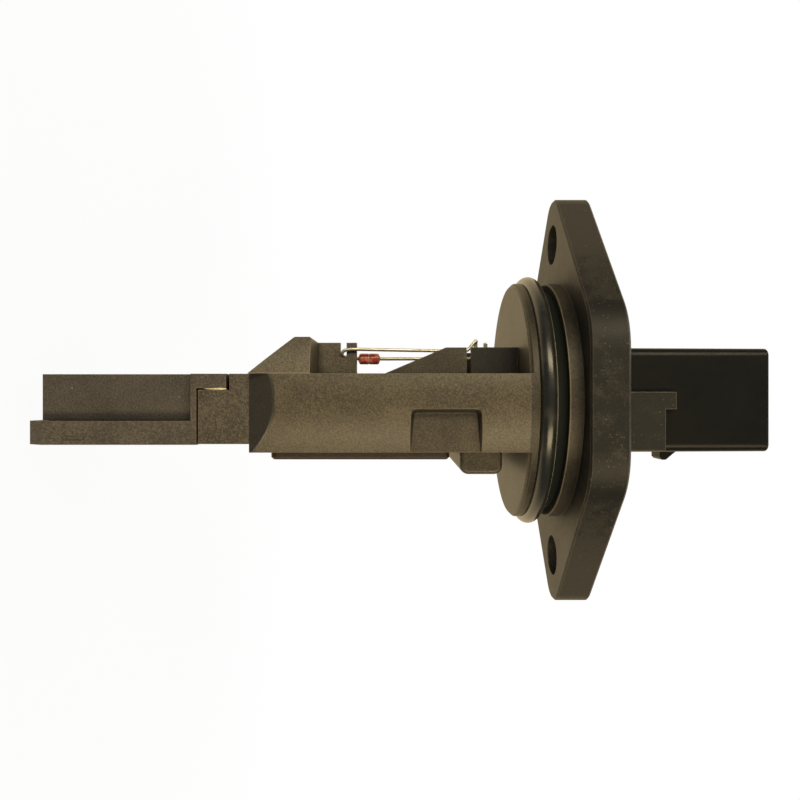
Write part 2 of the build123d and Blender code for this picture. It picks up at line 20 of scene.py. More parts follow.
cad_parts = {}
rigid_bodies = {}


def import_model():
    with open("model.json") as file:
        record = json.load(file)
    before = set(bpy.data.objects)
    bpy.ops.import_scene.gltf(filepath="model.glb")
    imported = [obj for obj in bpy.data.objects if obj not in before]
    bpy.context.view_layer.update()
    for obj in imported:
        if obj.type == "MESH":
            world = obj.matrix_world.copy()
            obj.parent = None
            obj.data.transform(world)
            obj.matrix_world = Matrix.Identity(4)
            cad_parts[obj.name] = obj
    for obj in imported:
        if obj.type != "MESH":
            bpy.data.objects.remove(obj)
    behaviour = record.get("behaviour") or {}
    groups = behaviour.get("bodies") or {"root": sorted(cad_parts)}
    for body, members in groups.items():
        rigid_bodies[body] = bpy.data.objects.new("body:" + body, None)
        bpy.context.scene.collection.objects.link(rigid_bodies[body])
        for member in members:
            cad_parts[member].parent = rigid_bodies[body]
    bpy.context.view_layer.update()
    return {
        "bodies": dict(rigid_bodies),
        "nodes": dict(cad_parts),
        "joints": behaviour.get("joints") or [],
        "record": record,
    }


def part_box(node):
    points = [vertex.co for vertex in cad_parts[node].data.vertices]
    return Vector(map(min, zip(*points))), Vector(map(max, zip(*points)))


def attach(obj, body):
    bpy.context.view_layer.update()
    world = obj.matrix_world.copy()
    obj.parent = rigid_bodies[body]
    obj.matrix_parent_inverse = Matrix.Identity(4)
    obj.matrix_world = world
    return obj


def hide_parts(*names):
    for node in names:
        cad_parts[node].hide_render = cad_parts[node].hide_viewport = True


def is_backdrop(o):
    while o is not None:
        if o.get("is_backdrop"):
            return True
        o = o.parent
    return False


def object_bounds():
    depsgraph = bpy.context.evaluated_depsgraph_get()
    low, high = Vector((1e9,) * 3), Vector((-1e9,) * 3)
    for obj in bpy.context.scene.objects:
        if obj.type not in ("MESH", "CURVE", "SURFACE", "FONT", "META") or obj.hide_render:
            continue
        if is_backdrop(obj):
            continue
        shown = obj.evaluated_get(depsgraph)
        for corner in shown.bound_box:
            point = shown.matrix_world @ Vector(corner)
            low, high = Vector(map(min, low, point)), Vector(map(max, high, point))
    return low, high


MM = 0.001
ROOT = "root"
LOG = logging.getLogger("airflow_sensor")

Colour = tuple[float, float, float]
Place = tuple[float, float, float]
Span = tuple[float, float]
# Partly grime and partly painted shade: the colour that darkens inner corners and the pocket.
GRIME_AND_SHADE: Colour = (0.006, 0.005, 0.004)
WHITE: Colour = (1.0, 1.0, 1.0)
PLASTIC_IOR = 1.58
RELIEF_HEIGHT = 0.04 * MM
MERGE_DISTANCE = 1e-7


class Slot(Enum):
    """Names of material slots of the record, handed along with the new pieces."""

    SEAL_RUBBER = "seal_rubber"
    LEAD_METAL = "lead_metal"
    BEAD_GLASS = "bead_glass"
    ADHESIVE = "adhesive"


class Operation(Enum):
    """What a Math node works out."""

    ADD = "ADD"
    SUBTRACT = "SUBTRACT"
    MULTIPLY = "MULTIPLY"
    POWER = "POWER"
    ABSOLUTE = "ABSOLUTE"
    MAXIMUM = "MAXIMUM"
    PINGPONG = "PINGPONG"


class Value:
    """A shader socket that takes part in arithmetic."""

    def __init__(self, graph: "Graph", socket: bpy.types.NodeSocket) -> None:
        """Keeps the graph that the socket is in.

        Args:
            graph: The graph that adds the Math nodes.
            socket: The output that holds the value.
        """
        self.graph = graph
        self.socket = socket

    def __add__(self, other: Any) -> "Value":
        """Adds a number or another value."""
        return self.graph.math(Operation.ADD, self, other)

    __radd__ = __add__

    def __mul__(self, other: Any) -> "Value":
        """Multiplies by a number or another value."""
        return self.graph.math(Operation.MULTIPLY, self, other)

    __rmul__ = __mul__

    def __sub__(self, other: Any) -> "Value":
        """Takes away a number or another value."""
        return self.graph.math(Operation.SUBTRACT, self, other)

    def __rsub__(self, other: Any) -> "Value":
        """Is taken away from a number."""
        return self.graph.math(Operation.SUBTRACT, other, self)

    def __pow__(self, other: Any) -> "Value":
        """Raises to a power."""
        return self.graph.math(Operation.POWER, self, other)

    def ramp(self, low: float, high: float) -> "Value":
        """Maps low to 0 and high to 1, smoothly and clamped."""
        made = self.graph.node("MapRange", {"interpolation_type": "SMOOTHSTEP"}, s0=self, s1=low, s2=high)
        return Value(self.graph, made.outputs[0])

    def above(self, edge: float, soft: float) -> "Value":
        """Rises from 0 to 1 at an edge, over soft to both sides."""
        return self.ramp(edge - soft, edge + soft)

    def below(self, edge: float, soft: float) -> "Value":
        """Falls from 1 to 0 at an edge, over soft to both sides."""
        return 1.0 - self.above(edge, soft)

    def within(self, low: float, high: float, soft: float) -> "Value":
        """Is 1 between two edges and 0 outside them."""
        return self.above(low, soft) * self.below(high, soft)

    def size(self) -> "Value":
        """The value without its sign."""
        return self.graph.math(Operation.ABSOLUTE, self)

    def or_more(self, other: Any) -> "Value":
        """The larger of the value and another."""
        return self.graph.math(Operation.MAXIMUM, self, other)

    def vary(self, share: float) -> "Value":
        """Turns a noise about 0.5 into a change about 0, of this share."""
        return (self - 0.5) * share


@dataclass(frozen=True)
class Axes:
    """The place on the object along X, Y and Z, in metres."""

    across: Value
    along_flow: Value
    height: Value

    def reach(self) -> Value:
        """The distance from the Z axis."""
        return (self.across * self.across + self.along_flow * self.along_flow) ** 0.5


class Graph:
    """The node graph of one material or of the world.

    Attributes:
        rays: The samples that find edges and inner corners.
        grain_reach: The radius of a grain, as a share of its cell.
        grain_soft: Half the width of a grain's soft edge, as a share of its cell.
        choice_soft: Half the width of the step that chooses cells.
        edge_turn: How far a normal turns where an edge starts and where it is full.
        hollow_depth: How much is hidden where a hollow starts and where it is full.
    """

    rays: int = 6
    grain_reach: float = 0.32
    grain_soft: float = 0.12
    choice_soft: float = 0.01
    edge_turn: Span = (0.004, 0.12)
    hollow_depth: Span = (0.08, 0.75)

    def __init__(self, name: str, world: Optional[bpy.types.World] = None) -> None:
        """Starts an empty material, or clears the world that is given.

        Args:
            name: The name of the material.
            world: The world, if the graph is its own.
        """
        self.material = world or bpy.data.materials.new(name)
        self.material.use_nodes = True
        self.tree = self.material.node_tree
        self.tree.nodes.clear()
        self.output = self.tree.nodes.new("ShaderNodeOutput" + ("World" if world else "Material"))

    def node(
        self, kind: str, settings: Optional[dict[str, Any]] = None, **inputs: Any
    ) -> bpy.types.Node:
        """Adds a node, makes its settings and then fills its sockets.

        Args:
            kind: The node's type, without the words ShaderNode.
            settings: Properties of the node, such as a Math node's operation, set first.
            **inputs: Values, colours or links by socket, as _socket names them.

        Returns:
            The node.
        """
        made = self.tree.nodes.new("ShaderNode" + kind)
        for key, value in (settings or {}).items():
            setattr(made, key, value)
        for key, value in inputs.items():
            self.feed(self._socket(made, key), value)
        return made

    def _socket(self, made: bpy.types.Node, key: str) -> bpy.types.NodeSocket:
        """Finds an input.

        Args:
            made: The node.
            key: The input's place, as s0, or its name with _ for a space.

        Returns:
            The input.
        """
        if key[0] == "s" and key[1:].isdigit():
            return made.inputs[int(key[1:])]
        return made.inputs[key.replace("_", " ")]

    def feed(self, socket: bpy.types.NodeSocket, value: Any) -> None:
        """Links or sets an input.

        Args:
            socket: The input.
            value: A Value, a socket, a colour or a number.
        """
        if isinstance(value, Value):
            value = value.socket
        if isinstance(value, bpy.types.NodeSocket):
            self.tree.links.new(value, socket)
        elif isinstance(value, (tuple, list)) and socket.type == "RGBA":
            socket.default_value = (*value[:3], 1.0)
        else:
            socket.default_value = value

    def math(self, operation: Operation, first: Any, second: Any = 0.0) -> Value:
        """Adds one Math node."""
        made = self.node("Math", {"operation": operation.value}, s0=first, s1=second)
        return Value(self, made.outputs[0])

    def place(self) -> bpy.types.NodeSocket:
        """The place on the object, in metres."""
        return self.node("TexCoord").outputs["Object"]

    def axes(self) -> Axes:
        """The place along each axis."""
        parts = self.node("SeparateXYZ", None, s0=self.place()).outputs
        return Axes(*(Value(self, part) for part in parts))

    def stretched(self, scale: Place) -> bpy.types.NodeSocket:
        """The place, stretched along each axis."""
        return self.node("Mapping", None, Vector=self.place(), Scale=scale).outputs[0]

    def noise(
        self, size: float, detail: float = 3.0, rough: float = 0.55, at: Any = None
    ) -> Value:
        """Cloudy noise.

        Args:
            size: The size of its largest spots, in metres.
            detail: How many finer layers it has.
            rough: How strong the finer layers are.
            at: The place that it reads, or the object's own.

        Returns:
            The noise, from 0 to 1 about 0.5.
        """
        spot = at or self.place()
        made = self.node(
            "TexNoise", None, Vector=spot, Scale=1.0 / size, Detail=detail, Roughness=rough
        )
        return Value(self, made.outputs[0])

    def grains(self, size: float, share: float) -> Value:
        """Round grains scattered in a share of the cells of a random grid.

        Args:
            size: The size of a cell, in metres.
            share: The share of cells that hold a grain.

        Returns:
            1 in a grain and 0 elsewhere.
        """
        made = self.node("TexVoronoi", None, Vector=self.place(), Scale=1.0 / size)
        inside = Value(self, made.outputs["Distance"]).below(self.grain_reach, self.grain_soft)
        parts = self.node("SeparateColor", None, s0=made.outputs["Color"]).outputs
        chosen = Value(self, parts[0]).above(1.0 - share, self.choice_soft)
        return inside * chosen

    def mix(self, amount: Any, first: Any, second: Any) -> bpy.types.NodeSocket:
        """Mixes two colours."""
        made = self.node("Mix", {"data_type": "RGBA"}, s0=amount, s6=first, s7=second)
        return made.outputs[2]

    def edges(self, radius: float) -> tuple[bpy.types.NodeSocket, Value]:
        """Rounds the shading of sharp edges.

        Args:
            radius: The radius of the rounding, in metres.

        Returns:
            The rounded normal and a mask that is 1 on the edges.
        """
        rounded = self.node("Bevel", {"samples": self.rays}, Radius=radius).outputs[0]
        true_normal = self.node("NewGeometry").outputs["True Normal"]
        dot = self.node("VectorMath", {"operation": "DOT_PRODUCT"}, s0=rounded, s1=true_normal)
        away = 1.0 - Value(self, dot.outputs["Value"])
        return rounded, away.ramp(*self.edge_turn)

    def hollows(self, reach: float) -> Value:
        """Finds inner corners, where grime gathers and shade is painted.

        Args:
            reach: How far a wall may stand from the point, in metres.

        Returns:
            1 deep in a corner and 0 in the open.
        """
        made = self.node("AmbientOcclusion", {"samples": self.rays}, Distance=reach)
        return (1.0 - Value(self, made.outputs["AO"])).ramp(*self.hollow_depth)

    def bump(
        self, height: Any, strength: float, distance: float, normal: Any = None
    ) -> bpy.types.NodeSocket:
        """Turns a height into a normal.

        Args:
            height: The height, from 0 to 1.
            strength: How strong the relief is.
            distance: How far a height of 1 stands out, in metres.
            normal: The normal that the relief is added to, or the surface's own.

        Returns:
            The normal.
        """
        made = self.node("Bump", None, Height=height, Strength=strength, Distance=distance)
        if normal is not None:
            self.feed(made.inputs["Normal"], normal)
        return made.outputs[0]

    def surface(self, **inputs: Any) -> bpy.types.Material:
        """Ends the graph in a Principled shader.

        Args:
            **inputs: Values, colours or links of its sockets.

        Returns:
            The material.
        """
        shader = self.node("BsdfPrincipled", None, **inputs)
        self.tree.links.new(shader.outputs[0], self.output.inputs[0])
        return self.material


@dataclass(frozen=True)
class Tones:
    """The values of a moulding's texture.

    Attributes:
        cloud: Noise of wide spots.
        mottle: Noise of spots that the eye just sees.
        fine: Noise of the eroded grain.
        fibres: The ends of fibres at the surface, in patches.
        tone: How pale the plastic is, from 0 to 1.
        specks: How strongly fibres and dust show.
        sheen: How the roughness changes over the surface.
        relief: The height of the texture.
        rounded: The normal with rounded edges.
        open_edge: 1 on open edges, which are painted paler partly as wear and partly as painted
            highlight.
        hollow: 1 deep in inner corners, where colour is darkened partly as grime and partly as painted
            shade.
    """

    cloud: Value
    mottle: Value
    fine: Value
    fibres: Value
    tone: Value
    specks: Value
    sheen: Value
    relief: Value
    rounded: bpy.types.NodeSocket
    open_edge: Value
    hollow: Value


@dataclass(frozen=True)
class Speckle:
    """The eroded mould texture of a moulding: its grain, its mottle, its fibres and its dust."""

    grain: float = 0.19 * MM
    mottle: float = 0.9 * MM
    cloud: float = 6.0 * MM
    patch: float = 3.2 * MM
    patch_edge: float = 0.46
    patch_soft: float = 0.12
    fibre: float = 0.30 * MM
    fibre_share: float = 0.12
    dust: float = 0.36 * MM
    dust_share: float = 0.0035
    edge_radius: float = 0.15 * MM
    hollow_reach: float = 1.6 * MM
    cloud_tone: float = 0.4
    mottle_tone: float = 0.22
    grain_tone: float = 1.15
    tone_shift: float = 0.385
    tone_range: Span = (0.32, 0.70)
    fibre_show: float = 0.16
    dust_show: float = 0.5
    sheen_change: float = 0.12
    grain_relief: float = 0.75
    mottle_relief: float = 0.3
    fibre_relief: float = 0.15

    def tones(self, graph: Graph) -> Tones:
        """Adds the nodes of the texture.

        Args:
            graph: The graph of the material.

        Returns:
            The values that colour, roughness and relief share.
        """
        cloud = graph.noise(self.cloud, detail=4.0)
        mottle = graph.noise(self.mottle, detail=4.0, rough=0.65)
        fine = graph.noise(self.grain, detail=2.0, rough=0.6)
        patch = graph.noise(self.patch).above(self.patch_edge, self.patch_soft)
        fibres = graph.grains(self.fibre, self.fibre_share) * patch
        dust = graph.grains(self.dust, self.dust_share)
        rounded, open_edge = graph.edges(self.edge_radius)
        hollow = graph.hollows(self.hollow_reach)
        tone = cloud * self.cloud_tone + mottle * self.mottle_tone + fine * self.grain_tone
        relief = fine * self.grain_relief + mottle * self.mottle_relief
        return Tones(
            cloud=cloud,
            mottle=mottle,
            fine=fine,
            fibres=fibres,
            tone=(tone - self.tone_shift).ramp(*self.tone_range),
            specks=fibres * self.fibre_show + dust * self.dust_show,
            sheen=cloud.vary(self.sheen_change) + mottle.vary(self.sheen_change),
            relief=relief + fibres * self.fibre_relief,
            rounded=rounded,
            open_edge=open_edge * (1.0 - hollow),
            hollow=hollow,
        )


@dataclass(frozen=True)
class MouldedPlastic:
    """Fibre-filled black plastic with a fine eroded texture and paler edges, partly wear and partly
    painted highlight.
    """

    name: str
    dark: Colour
    pale: Colour
    speck: Colour = (0.30, 0.25, 0.15)
    rough: float = 0.5
    relief: float = 0.34
    pale_edge_show: float = 0.3
    grime_and_shade_show: float = 0.7
    speckle: Speckle = Speckle()

    def build(self) -> bpy.types.Material:
        """Makes the material.

        Returns:
            The material.
        """
        graph = Graph(self.name)
        tones = self.speckle.tones(graph)
        colour = graph.mix(tones.tone, self.dark, self.pale)
        colour = graph.mix(tones.specks, colour, self.speck)
        # Paler open edges, partly wear and partly painted highlight.
        colour = graph.mix(tones.open_edge * self.pale_edge_show, colour, self.speck)
        # Inner corners darkened, partly as grime and partly as painted shade.
        colour = graph.mix(tones.hollow * self.grime_and_shade_show, colour, GRIME_AND_SHADE)
        rough = self.rough + tones.sheen
        normal = graph.bump(tones.relief, self.relief, RELIEF_HEIGHT, tones.rounded)
        return graph.surface(Base_Color=colour, Roughness=rough, Normal=normal, IOR=PLASTIC_IOR)


@dataclass(frozen=True)
class Masks:
    """Masks of the housing's surfaces, each 1 on its surface and 0 elsewhere.

    Attributes:
        shroud: The plug shroud.
        pad: The step in front of the shroud.
        flange: The flange and, less strongly, its collar and the rim of the lip.
        collar: The round collar under the flange.
        shoulder: The flange on both sides of its middle.
        middle: The middle of the flange.
        slanted: The two ends of the flange, more strongly towards their tips.
        groove: The groove that holds the ring, where the ring's shadow is painted.
        groove_rim: The edge between the groove and the collar, where a highlight is painted.
        smooth: The slanted noses of the blade and the rails beside the lip, which are smoother and
            painted darker, partly as painted shade.
        arm: The end of the blade that carries the channel.
        recess: The faces in the recess beside the probe, most of all the notched plate, which is painted
            paler as painted light.
        fin: The plate between the recess and the arm, painted a little paler as painted light.
        seam: The painted highlight, a pale line along one edge of that plate.
        pocket: The floor and, more strongly, the walls of the pocket in the blade's edge, where shade is
            painted.
    """

    shroud: Value
    pad: Value
    flange: Value
    collar: Value
    shoulder: Value
    middle: Value
    slanted: Value
    groove: Value
    groove_rim: Value
    smooth: Value
    arm: Value
    recess: Value
    fin: Value
    seam: Value
    pocket: Value


@dataclass(frozen=True)
class Zones:
    """Where the surfaces of the housing lie, and how softly each begins and ends."""

    hair: float = 0.02 * MM
    thin: float = 0.03 * MM
    soft: float = 0.05 * MM
    wide: float = 0.1 * MM
    shroud_start: float = 4.62 * MM
    pad_face: float = -12.7 * MM
    flange_start: float = -1.9 * MM
    flange_soft: float = 0.25 * MM
    shoulder: Span = (7.0 * MM, 11.5 * MM)
    shoulder_soft: float = 0.8 * MM
    middle_half: float = 8.0 * MM
    middle_soft: float = 1.5 * MM
    slant: Span = (12.5 * MM, 22.0 * MM)
    collar_reach: float = 15.9 * MM
    collar_soft: float = 0.04 * MM
    collar_end: float = -0.05 * MM
    collar_loss: float = 0.32
    groove: Span = (-5.05 * MM, -1.62 * MM)
    groove_reach: float = 15.8 * MM
    groove_soft: float = 0.12 * MM
    groove_rim: Span = (-1.74 * MM, -1.58 * MM)
    lip_rim: Span = (-6.15 * MM, -5.1 * MM)
    lip_share: float = 0.6
    lip_end: float = -6.3 * MM
    rail_start: float = -12.4 * MM
    rail_face: float = -3.14 * MM
    rail_reach: float = -9.0 * MM
    rail_share: float = 0.95
    nose_start: float = -39.2 * MM
    nose_end: float = -35.9 * MM
    nose_edge: float = 14.75 * MM
    nose_drop: float = 1.35 * MM
    nose_length: float = 3.1 * MM
    nose_half: float = 0.12 * MM
    recess: Span = (-31.8 * MM, -12.7 * MM)
    recess_soft: float = 0.2 * MM
    recess_faces: Span = (-10.4 * MM, -7.4 * MM)
    fin: Span = (-39.2 * MM, -31.85 * MM)
    fin_reach: float = -10.0 * MM
    fin_edge_glint_half: float = 0.08 * MM
    fin_edge_glint_soft: float = 0.04 * MM
    pocket: Span = (-20.05 * MM, -11.95 * MM)
    pocket_side: float = 1.1 * MM
    pocket_floor: float = -14.64 * MM
    pocket_margin: float = 0.14 * MM
    pocket_soft: float = 0.04 * MM
    pocket_share: float = 0.2
    pocket_wall_share: float = 0.58

    def masks(self, graph: Graph) -> Masks:
        """Adds the nodes that find the surfaces.

        Args:
            graph: The graph of the material.

        Returns:
            The masks.
        """
        at = graph.axes()
        aside = at.across.size()
        reach = at.reach()
        outside = reach.above(self.collar_reach, self.collar_soft)
        lip_rim = at.height.within(*self.lip_rim, self.soft) * outside
        collar = at.height.within(self.flange_start, self.collar_end, self.soft)
        flange = at.height.above(self.flange_start, self.flange_soft).or_more(lip_rim * self.lip_share)
        plug_side = at.height.above(self.shroud_start, self.hair)
        groove = at.height.within(*self.groove, self.thin)
        fin = at.height.within(*self.fin, self.soft) * at.along_flow.below(self.fin_reach, self.wide)
        # Painted highlight: a thin pale line along the fin's edge.
        seam = (at.across - self.rail_face).size().below(self.fin_edge_glint_half, self.fin_edge_glint_soft)
        return Masks(
            shroud=plug_side * at.along_flow.above(self.pad_face, self.soft),
            pad=plug_side * at.along_flow.below(self.pad_face, self.soft),
            flange=flange - collar * self.collar_loss,
            collar=collar,
            shoulder=aside.within(*self.shoulder, self.shoulder_soft),
            middle=aside.below(self.middle_half, self.middle_soft),
            slanted=aside.ramp(*self.slant),
            groove=groove * reach.below(self.groove_reach, self.groove_soft),
            groove_rim=at.height.within(*self.groove_rim, self.thin) * outside,
            smooth=self._smooth(at),
            arm=at.height.below(self.nose_start, self.hair),
            recess=self._recess(at),
            fin=fin * at.across.below(self.rail_face, self.thin),
            seam=fin * seam,
            pocket=self._pocket(at),
        )

    def _smooth(self, at: Axes) -> Value:
        """Finds the slanted noses of the blade and the rails beside the lip.

        Args:
            at: The place on the housing.

        Returns:
            The mask.
        """
        slope = self.nose_drop / self.nose_length
        plane = (at.height - self.nose_start) * slope + self.nose_edge
        nose = (at.along_flow.size() - plane).size().below(self.nose_half, self.soft)
        nose = nose * at.height.within(self.nose_start, self.nose_end, self.thin)
        rails = at.height.within(self.rail_start, self.lip_end, self.soft)
        rails = rails * at.across.below(self.rail_face, self.thin)
        rails = rails * at.along_flow.above(self.rail_reach, self.wide)
        return nose.or_more(rails * self.rail_share)

    def _pocket(self, at: Axes) -> Value:
        """Finds the pocket, where shade is painted: all of it a little, and its walls far more.

        Args:
            at: The place on the housing.

        Returns:
            The mask.
        """
        inside = at.height.within(*self.pocket, self.soft)
        inside = inside * at.across.above(self.pocket_side, self.wide)
        whole = at.along_flow.below(self.pocket_floor + self.pocket_margin, self.pocket_soft)
        walls = at.along_flow.below(self.pocket_floor, self.hair)
        return inside * (whole * self.pocket_share + walls * self.pocket_wall_share)

    def _recess(self, at: Axes) -> Value:
        """Finds the faces in the recess beside the probe.

        Args:
            at: The place on the housing.

        Returns:
            The mask.
        """
        inside = at.height.within(*self.recess, self.recess_soft)
        inside = inside * at.across.below(self.rail_face, self.soft)
        return inside * at.along_flow.ramp(*self.recess_faces)


@dataclass(frozen=True)
class HousingPlastic:
    """The housing's plastic: eroded on the blade, smoother on the flange, polished on the shroud.

    The numbers say how strongly a surface or a mark changes the colour (show, pale, dark; shade,
    light and glint where shade or light is painted), the roughness (matt, gloss), the metallic share
    (dull, bright) or the relief (flat).
    """

    name: str
    dark: Colour = (0.034, 0.0265, 0.017)
    pale: Colour = (0.098, 0.078, 0.047)
    arm_dark: Colour = (0.036, 0.0295, 0.0225)
    arm_pale: Colour = (0.107, 0.088, 0.063)
    recess_lit_dark: Colour = (0.10, 0.083, 0.060)
    recess_lit_pale: Colour = (0.22, 0.185, 0.13)
    flange_dark: Colour = (0.0077, 0.0075, 0.0070)
    flange_pale: Colour = (0.0350, 0.0308, 0.0246)
    pad_tone: Colour = (0.0115, 0.0121, 0.0118)
    # The ring's painted shadow in its groove.
    groove_shade: Colour = (0.0150, 0.0200, 0.0190)
    speck: Colour = (0.30, 0.25, 0.17)
    polished: Colour = (0.0036, 0.0041, 0.0044)
    polished_pale: Colour = (0.0066, 0.0070, 0.0075)
    smooth_shade_tone: Colour = (0.0270, 0.0255, 0.0225)
    smooth_shade_show: float = 0.85
    recess_light_show: float = 0.75
    fin_light_show: float = 0.24
    pad_show: float = 0.6
    pale_edge_show: float = 0.55
    fin_edge_glint_show: float = 0.35
    rim_glint_show: float = 0.45
    grime_and_shade_show: float = 0.7
    polished_mottle_show: float = 0.6
    polished_worn_show: float = 0.4
    blotch: float = 2.6 * MM
    grain_pale: float = 0.7
    fibre_pale: float = 0.08
    flange_shift: float = 0.35
    shoulder_shade: float = 0.23
    middle_shade: float = 0.09
    slanted_light: float = 0.30
    collar_light: float = 0.2
    flange_range: Span = (0.36, 0.66)
    matt: float = 0.46
    polish: float = 0.40
    polish_cloud: float = 0.12
    polish_mottle: float = 0.08
    flange_matt: float = 0.06
    smooth_gloss: float = 0.12
    groove_matt: float = 0.4
    groove_dull: float = 0.7
    shroud_dull: float = 0.6
    flange_dull: float = 0.42
    slanted_bright: float = 0.3
    relief: float = 0.4
    shroud_flat: float = 0.85
    smooth_flat: float = 0.6
    speckle: Speckle = Speckle()
    zones: Zones = Zones()

    def build(self) -> bpy.types.Material:
        """Makes the material.

        Returns:
            The material.
        """
        graph = Graph(self.name)
        tones = self.speckle.tones(graph)
        masks = self.zones.masks(graph)
        relief = tones.relief * (1.0 - masks.shroud * self.shroud_flat)
        relief = relief * (1.0 - masks.smooth * self.smooth_flat)
        return graph.surface(
            Base_Color=self._colour(graph, tones, masks),
            Metallic=self._dullness(masks),
            Roughness=self._roughness(tones, masks),
            Normal=graph.bump(relief, self.relief, RELIEF_HEIGHT, tones.rounded),
            IOR=PLASTIC_IOR,
        )

    def _colour(self, graph: Graph, tones: Tones, masks: Masks) -> bpy.types.NodeSocket:
        """Colours the blade, then the flange, then the marks and the painted light and shade on both, and
        last the shroud.

        Args:
            graph: The graph of the material.
            tones: The texture.
            masks: The surfaces.

        Returns:
            The colour.
        """
        blade = graph.mix(tones.tone, self.dark, self.pale)
        arm = graph.mix(tones.tone, self.arm_dark, self.arm_pale)
        blade = graph.mix(masks.arm, blade, arm)
        # The noses and rails darker: partly their smoother finish, partly painted shade.
        blade = graph.mix(masks.smooth * self.smooth_shade_show, blade, self.smooth_shade_tone)
        # Painted light: the faces in the recess, and a little the fin, are painted paler.
        recess = graph.mix(tones.tone, self.recess_lit_dark, self.recess_lit_pale)
        paler = masks.recess * self.recess_light_show + masks.fin * self.fin_light_show
        blade = graph.mix(paler, blade, recess)
        plate = graph.mix(self._flange_tone(graph, tones, masks), self.flange_dark, self.flange_pale)
        plate = graph.mix(masks.pad * self.pad_show, plate, self.pad_tone)
        colour = graph.mix(masks.flange, blade, plate)
        colour = graph.mix(tones.specks, colour, self.speck)
        # Paler open edges, partly wear and partly painted highlight, and a painted highlight line along
        # the fin's edge.
        marks = (tones.open_edge * self.pale_edge_show).or_more(masks.seam * self.fin_edge_glint_show)
        colour = graph.mix(marks, colour, self.speck)
        # Inner corners darkened partly as grime and partly as painted shade; the pocket darkened as
        # painted shade.
        grimed_and_shaded = (tones.hollow * self.grime_and_shade_show).or_more(masks.pocket)
        colour = graph.mix(grimed_and_shaded, colour, GRIME_AND_SHADE)
        # The groove painted dark: the ring's painted shadow.
        colour = graph.mix(masks.groove, colour, self.groove_shade)
        # Painted highlight along the edge where the collar meets the groove.
        colour = graph.mix(masks.groove_rim * self.rim_glint_show, colour, self.speck)
        hazy = tones.mottle * self.polished_mottle_show + tones.open_edge * self.polished_worn_show
        plain = graph.mix(hazy, self.polished, self.polished_pale)
        return graph.mix(masks.shroud, colour, plain)

    def _flange_tone(self, graph: Graph, tones: Tones, masks: Masks) -> Value:
        """Says how pale the flange is: blotched, with painted shade on its middle and shoulders and
        painted light on its ends and its collar.

        Args:
            graph: The graph of the material.
            tones: The texture.
            masks: The surfaces.

        Returns:
            The tone, from 0 to 1.
        """
        blotch = graph.noise(self.blotch, detail=5.0, rough=0.7)
        tone = blotch + tones.fine * self.grain_pale + tones.fibres * self.fibre_pale
        # Painted shade on the shoulders and the middle, painted light on the ends and the collar.
        tone = tone - masks.shoulder * self.shoulder_shade - masks.middle * self.middle_shade
        tone = tone + masks.slanted * self.slanted_light + masks.collar * self.collar_light
        return (tone - self.flange_shift).ramp(*self.flange_range)

    def _roughness(self, tones: Tones, masks: Masks) -> Value:
        """Makes the groove matt, the noses glossier and the shroud even.

        Args:
            tones: The texture.
            masks: The surfaces.

        Returns:
            The roughness.
        """
        matt = self.matt + tones.sheen + masks.flange * self.flange_matt
        matt = matt - masks.smooth * self.smooth_gloss + masks.groove * self.groove_matt
        polish = self.polish + tones.cloud.vary(self.polish_cloud)
        polish = polish + tones.mottle.vary(self.polish_mottle)
        return matt + (polish - matt) * masks.shroud

    def _dullness(self, masks: Masks) -> Value:
        """Dims the gloss of the groove, the shroud and the flange by a metallic share.

        Args:
            masks: The surfaces.

        Returns:
            The metallic share.
        """
        flange = masks.flange * (1.0 - masks.shroud)
        flange = flange * (self.flange_dull - masks.slanted * self.slanted_bright)
        dull = (masks.groove * self.groove_dull).or_more(masks.shroud * self.shroud_dull)
        return dull.or_more(flange)


@dataclass(frozen=True)
class Rubber:
    """Moulded seal rubber: smooth, a little dusty, with a painted reflection, a pale line, along its back
    edge.
    """

    name: str
    colour: Colour = (0.0125, 0.0135, 0.0125)
    dusty: Colour = (0.06, 0.055, 0.045)
    back_reflection: Colour = (0.42, 0.41, 0.37)
    cloud: float = 2.5 * MM
    cloud_range: Span = (0.5, 0.8)
    grain: float = 0.12 * MM
    dust: float = 0.5 * MM
    dust_share: float = 0.05
    dust_show: float = 0.5
    back_reflection_line: float = -3.26 * MM
    back_reflection_soft: float = 0.05 * MM
    back_reflection_show: float = 0.8
    rough: float = 0.28
    cloud_rough: float = 0.14
    dust_rough: float = 0.2
    grain_relief: float = 0.4
    cloud_relief: float = 0.6
    relief: float = 0.12
    relief_height: float = 0.03 * MM
    coat: float = 0.4
    coat_rough: float = 0.2

    def build(self) -> bpy.types.Material:
        """Makes the material.

        Returns:
            The material.
        """
        graph = Graph(self.name)
        cloud = graph.noise(self.cloud, detail=4.0, rough=0.6)
        fine = graph.noise(self.grain, detail=2.0)
        dust = graph.grains(self.dust, self.dust_share)
        dusty = (cloud.ramp(*self.cloud_range) + dust) * self.dust_show
        # Painted reflection: a pale line along the ring's back edge.
        back_reflecting = graph.axes().height.above(self.back_reflection_line, self.back_reflection_soft) * self.back_reflection_show
        colour = graph.mix(dusty, self.colour, self.dusty)
        colour = graph.mix(back_reflecting, colour, self.back_reflection)
        rough = self.rough + cloud.vary(self.cloud_rough) + dust * self.dust_rough
        height = fine * self.grain_relief + cloud * self.cloud_relief
        return graph.surface(
            Base_Color=colour,
            Roughness=rough,
            Normal=graph.bump(height, self.relief, self.relief_height),
            Coat_Weight=self.coat,
            Coat_Roughness=self.coat_rough,
        )


